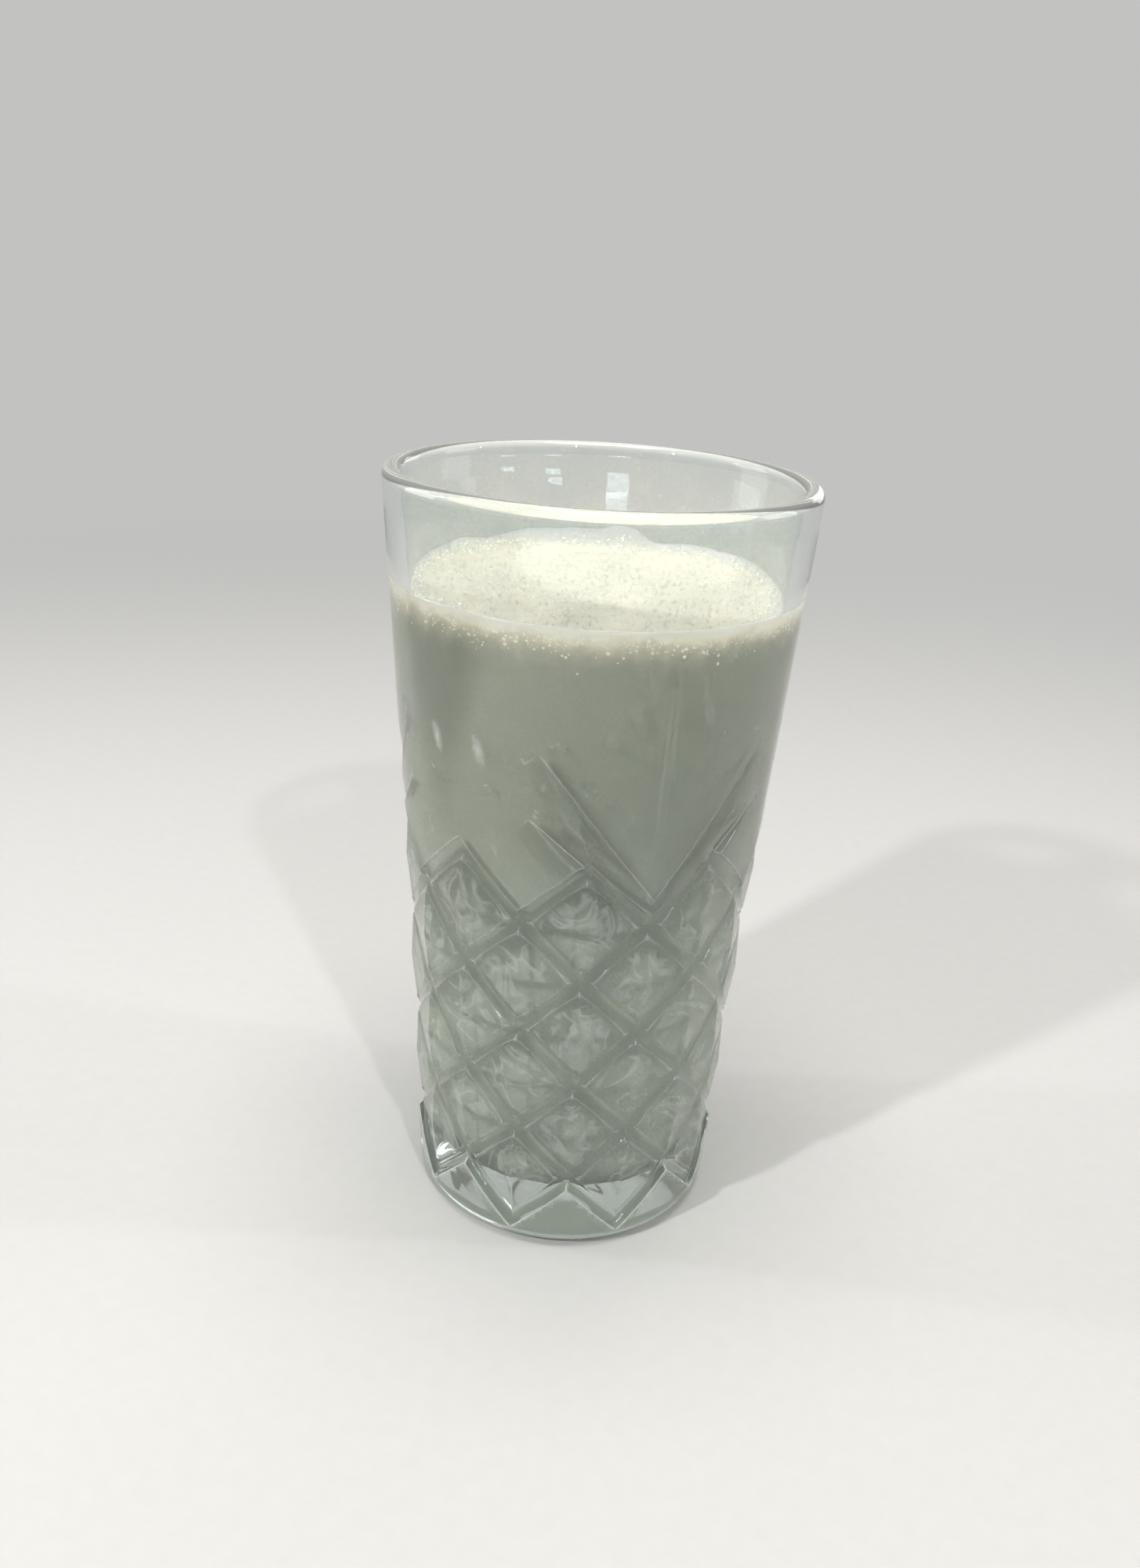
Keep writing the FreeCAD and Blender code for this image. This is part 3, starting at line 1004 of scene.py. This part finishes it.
def new_finish(name):
    return Finish(bpy.data.materials.new(name))


def wear(piece, finish):
    """Puts a finish on a piece."""
    piece.data.materials.clear()
    piece.data.materials.append(finish.owner)


def glass_finish():
    """Clear glass, greener where it is thick, with painted highlights on the cut edges, painted
    light on the lip and heel and faint painted caustic wisps.
    """
    glass = new_finish("clear_glass")
    height = glass.height()
    smudges = glass.range(glass.clouds(55.0, 4.0), 0.45, 0.8)
    tint = glass.blend(glass.range(height, *THICK_TO_THIN), THICK_GLASS, THIN_GLASS)
    glass.dress({"IOR": 1.52, "Transmission Weight": 1.0,
                 "Base Color": glass.blend(smudges * 0.3, tint, SMUDGED_GLASS),
                 "Roughness": smudges * 0.03 + 0.004,
                 "Normal": glass.bump(glass.clouds(90.0, 1.5), 0.00003, 0.4)})
    # A pale diffuse film laid over the glass paints light: highlights on the cut edges, caustic
    # wisps in the diamonds, and light on the lip and heel.
    patchy = glass.clouds(700.0, 2.0)
    painted_light_film = glass.node("BsdfPrincipled", {"Base Color": glass.blend(patchy, *PAINTED_LIGHT_FILM),
                                         "Roughness": 0.3 + 0.3 * patchy})
    # The mask gives the painted highlights (edge) and the diamonds' insides (inside).
    mark = glass.node("Attribute", {}, output="Fac", attribute_name="painted_light_mask")
    edge, inside = glass.math("MAXIMUM", mark), glass.math("MAXIMUM", mark * -1.0)
    folds = glass.math("ABSOLUTE", glass.clouds(100.0, 2.5, 0.55, 1.4) - 0.5)
    # Painted caustic wisps inside the diamonds
    painted_caustics = glass.range(folds, 0.0, 0.06, 0.25, 0.0) * inside
    # Painted light on the lip and on the heel
    lip = glass.range(height, *PAINTED_LIP_LIGHT, 0.0, 0.24)
    heel = glass.range(height, *PAINTED_HEEL_LIGHT, 0.34, 0.0)
    glass.lay_over(edge * (0.33 + 0.36 * patchy) + painted_caustics + lip + heel, painted_light_film)
    return glass


def buttermilk_finish():
    """The drink: painted light in a band at its top and on the cut part, painted shade on the body
    between, a painted glow near the top and on its floor, and subsurface scattering near the top.
    """
    milk = new_finish("buttermilk")
    height = milk.height()
    clouding = milk.clouds(120.0, 4.0)
    grain = milk.clouds(1400.0, 2.0)
    tone = milk.range(clouding * 0.6 + grain * 0.4, 0.35, 0.65)
    clumps = milk.range(milk.clouds(330.0, 2.0), 0.3, 0.7, -0.0012, 0.0012)
    # A band of painted light at the top of the drink
    top_light = milk.range(height + clumps, *TOP_LIGHT_BAND)
    top_light = top_light * top_light
    lit, shaded, lit_top = [milk.blend(tone, *pair) for pair in (LIT_MILK, SHADED_MILK, LIT_TOP_MILK)]
    # Painted light in the cut part, painted shade on the body above it
    lower = milk.blend(milk.range(height, *LIT_TO_SHADED), lit, shaded)
    facing_up = milk.node("SeparateXYZ", {0: milk.node("NewGeometry", {}, output="Normal")},
                          output=2)
    # Painted glow on the drink's floor
    under = milk.range(height, *UNDERSIDE_GLOW, 0.55, 0.0)
    # Painted glow on the sides near the top
    painted_top_glow = top_light * milk.range(facing_up, 0.3, 0.9, 0.12, 0.0)
    inputs = {"IOR": 1.35, "Subsurface Radius": (1.0, 0.95, 0.85), "Emission Strength": 1.0,
              "Base Color": milk.blend(top_light, lower, lit_top),
              "Roughness": 0.28 + 0.15 * clouding,
              "Normal": milk.bump(grain + clouding, 0.00012, 0.6)}
    milk.dress({**inputs, "Subsurface Weight": 0.0,
                "Emission Color": milk.blend(under, BLACK, (0.9, 1.0, 0.87))})
    # Subsurface shader that also carries the painted glow near the top
    glow = milk.node("BsdfPrincipled", {
        **inputs, "Subsurface Weight": 1.0, "Subsurface Scale": 0.0045,
        "Emission Color": milk.blend(painted_top_glow, BLACK, (1.0, 0.99, 0.92))})
    milk.lay_over(milk.range(height, *GLOW_START), glow)
    return milk


def froth_finish(name, tint, painted_glow, cover=1.0):
    """Bubbles, with a painted glow given as emission, so that they look lit like the drink round
    them.
    """
    froth = new_finish(name)
    tone = froth.clouds(900.0, 2.0)
    froth.dress({"IOR": 1.33, "Coat Weight": 0.4, "Coat Roughness": 0.05, "Alpha": cover,
                 "Emission Color": (painted_glow, 0.98 * painted_glow, 0.88 * painted_glow), "Emission Strength": 1.0,
                 "Base Color": froth.blend(tone, tuple(0.95 * c for c in tint), tint),
                 "Roughness": 0.15 + 0.1 * tone})
    return froth


def film_finish():
    """A film of the drink, patchy and thinner towards the lip."""
    film = new_finish("milk_film")
    low = film.range(film.height(), MILK_LEVEL * MM, HEIGHT * MM, 1.0, 0.35)
    patches = film.range(film.clouds(60.0, 5.0, 0.65), 0.35, 0.7, 0.4, 1.0)
    specks = film.range(film.clouds(1500.0, 2.0), 0.55, 0.68, 0.0, 0.5)
    film.dress({"IOR": 1.33, "Base Color": film.blend(patches, *FILM),
                "Alpha": low * patches * (0.22 + specks * 0.3),
                "Roughness": 0.5 - 0.1 * patches})
    return film


# ---------------------------------------------------------------- studio

BACKGROUND = (0.54, 0.54, 0.53)
AMBIENT = (0.05, 0.05, 0.05)
FLOOR_BOUNCE = (0.13, 0.13, 0.125)           # the floor's colour for light on its way to the glass
FLOOR_RADIUS = 3.0
FLOOR_LEVEL = -0.00005                       # just under the glass's foot
FLOOR_FADE = (0.2, 0.75)                     # where the floor turns into the background

LAMP_AIM = (0.0, 0.0, 0.09)
WHITE = (1.0, 1.0, 1.0)
WARM = (1.0, 0.96, 0.91)
DAYLIGHT = (0.75, 0.88, 1.0)

# Name, turn, elevation and distance, width, height and power
SHARP_LAMPS = (
    ("key", (-50.0, 38.0, 0.9), 0.035, 0.035, 3.5),
    ("second", (18.0, 42.0, 0.9), 0.025, 0.025, 1.9),
    ("third", (-95.0, 30.0, 0.9), 0.04, 0.04, 0.9),
    ("fourth", (85.0, 32.0, 0.9), 0.04, 0.04, 0.9),
)
SOFT_LAMPS = (
    ("left_side", (-105.0, 12.0, 0.9), 0.4, 0.5, 1.9),
    ("right_side", (97.0, 14.0, 0.9), 0.4, 0.5, 1.6),
    ("back", (180.0, 65.0, 1.0), 0.7, 0.5, 1.2),
    ("back_low", (150.0, 12.0, 1.0), 0.4, 0.3, 0.8),
)
WINDOW_LAMPS = (
    ("window", (-12.0, -0.5, 1.25), 0.3, 0.03, 1.0),
    ("window_over", (-20.0, 6.0, 1.25), 0.16, 0.05, 0.5),
    ("window_beside", (28.0, 1.0, 1.25), 0.2, 0.03, 0.4),
    ("window_far", (57.0, 1.0, 1.25), 0.2, 0.03, 0.4),
)

# The camera: its place in millimetres, its directions in radians
CAMERA_DISTANCE = 228.94
CAMERA_HEIGHT = 185.6
CAMERA_PITCH = 0.4005
CAMERA_YAW = -0.0121
CAMERA_ROLL = 0.0585
CAMERA_TURN = 0.048          # how far it has gone round the glass
LENS = 28.8
SENSOR_WIDTH = 36.0
CLIP_START = 0.01


def seen_directly(finish):
    """1 for what the camera sees, straight or in glass and gloss."""
    camera, glossy, through, scattered_before = [
        finish.node("LightPath", {}, output=name)
        for name in ("Is Camera Ray", "Is Glossy Ray", "Is Transmission Ray", "Diffuse Depth")]
    seen = finish.math("MAXIMUM", camera, finish.math("MAXIMUM", glossy, through))
    return seen * finish.math("LESS_THAN", scattered_before, 0.5)


def build_world():
    """A pale background for what is seen, and a dim even light for all else."""
    world = bpy.context.scene.world or bpy.data.worlds.new("studio")
    bpy.context.scene.world = world
    sky = Finish(world)
    sky.feed(sky.tree.nodes["Background"],
             {"Color": sky.blend(seen_directly(sky), AMBIENT, BACKGROUND)})


def build_floor():
    """A wide pale floor that fades into the background."""
    clear_selection()
    bpy.ops.mesh.primitive_circle_add(vertices=96, radius=FLOOR_RADIUS, fill_type="NGON",
                                      location=(0.0, 0.0, FLOOR_LEVEL))
    floor = finish_piece("studio_floor")
    paper = new_finish("studio_paper")
    grain = paper.clouds(300.0, 3.0)
    seen = seen_directly(paper)
    paper.dress({"Base Color": paper.blend(seen, FLOOR_BOUNCE, paper.blend(grain, *PAPER)),
                 "Roughness": 0.75 + 0.1 * grain})
    distance = paper.node("VectorMath", {0: paper.place()}, output="Value", operation="LENGTH")
    far = paper.range(distance, *FLOOR_FADE, interpolation_type="SMOOTHSTEP")
    paper.lay_over(far * seen, paper.node("Emission", {"Color": BACKGROUND, "Strength": 1.0}))
    wear(floor, paper)
    floor.cycles.is_caustics_receiver = True


def place_round(turn, elevation, distance):
    """A lamp's place round the glass, at a turn from the front and an elevation in degrees."""
    level = distance * math.cos(math.radians(elevation))
    return around(turn, level, LAMP_AIM[2] + distance * math.sin(math.radians(elevation)))


def add_lamp(name, place, width, height, power, tint=WHITE, sharp=False):
    """A rectangular lamp that faces the glass. A sharp one draws the cut pattern on the drink."""
    lamp = bpy.data.lights.new(name, "AREA")
    lamp.shape = "RECTANGLE"
    lamp.size, lamp.size_y = width, height
    lamp.energy = power
    lamp.color = tint
    lamp.cycles.is_caustics_light = sharp
    box = bpy.data.objects.new(name, lamp)
    box.location = place
    box.rotation_euler = (Vector(LAMP_AIM) - place).to_track_quat("-Z", "Y").to_euler()
    box.visible_camera = False
    bpy.context.scene.collection.objects.link(box)


def build_lights():
    add_lamp("overhead", Vector((0.0, -0.05, 1.0)), 0.5, 0.5, 6.0, WARM)
    for lamps, tint, sharp in ((SHARP_LAMPS, WHITE, True), (SOFT_LAMPS, WHITE, False),
                               (WINDOW_LAMPS, DAYLIGHT, False)):
        for name, direction, width, height, power in lamps:
            add_lamp(name, place_round(*direction), width, height, power, tint, sharp)


def build_camera():
    data = bpy.data.cameras.new("camera")
    data.lens = LENS
    data.sensor_width = SENSOR_WIDTH
    data.sensor_fit = "AUTO"
    data.clip_start = CLIP_START
    camera = bpy.data.objects.new("camera", data)
    bpy.context.scene.collection.objects.link(camera)
    forward = Vector((math.sin(CAMERA_YAW) * math.cos(CAMERA_PITCH),
                      math.cos(CAMERA_YAW) * math.cos(CAMERA_PITCH), -math.sin(CAMERA_PITCH)))
    right = Vector((math.cos(CAMERA_YAW), -math.sin(CAMERA_YAW), 0.0))
    up = right.cross(forward)
    level, tipped = math.cos(CAMERA_ROLL), math.sin(CAMERA_ROLL)
    axes = Matrix((right * level + up * tipped, up * level - right * tipped, -forward)).transposed()
    place = Matrix.Translation((0.0, -CAMERA_DISTANCE * MM, CAMERA_HEIGHT * MM)) @ axes.to_4x4()
    camera.matrix_world = Matrix.Rotation(-CAMERA_TURN, 4, "Z") @ place
    bpy.context.scene.camera = camera


# ---------------------------------------------------------------- assembly

tumbler = build_tumbler()
wear(tumbler, glass_finish())
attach(tumbler, "root")
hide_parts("tumbler")

buttermilk = build_buttermilk()
wear(buttermilk, buttermilk_finish())
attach(buttermilk, "root")
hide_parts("buttermilk")

tumbler.cycles.is_caustics_caster = True
buttermilk.cycles.is_caustics_receiver = True

# The third value of each froth finish is its painted glow.
froth_white = froth_finish("froth", (0.92, 0.91, 0.80), 0.2)
extras = (
    (build_froth(), froth_white),
    (build_wall_bubbles(), froth_finish("wall_froth", (0.9, 0.89, 0.78), 0.3)),
    (build_droplets(), froth_finish("droplets", (0.90, 0.90, 0.82), 0.15, 0.35)),
    (build_haze(), film_finish()),
)
for piece, finish in extras:
    wear(piece, finish)
    piece.cycles.is_caustics_receiver = True
    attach(piece, "root")

build_world()
build_floor()
build_lights()
build_camera()
bpy.context.scene.view_settings.view_transform = "Standard"
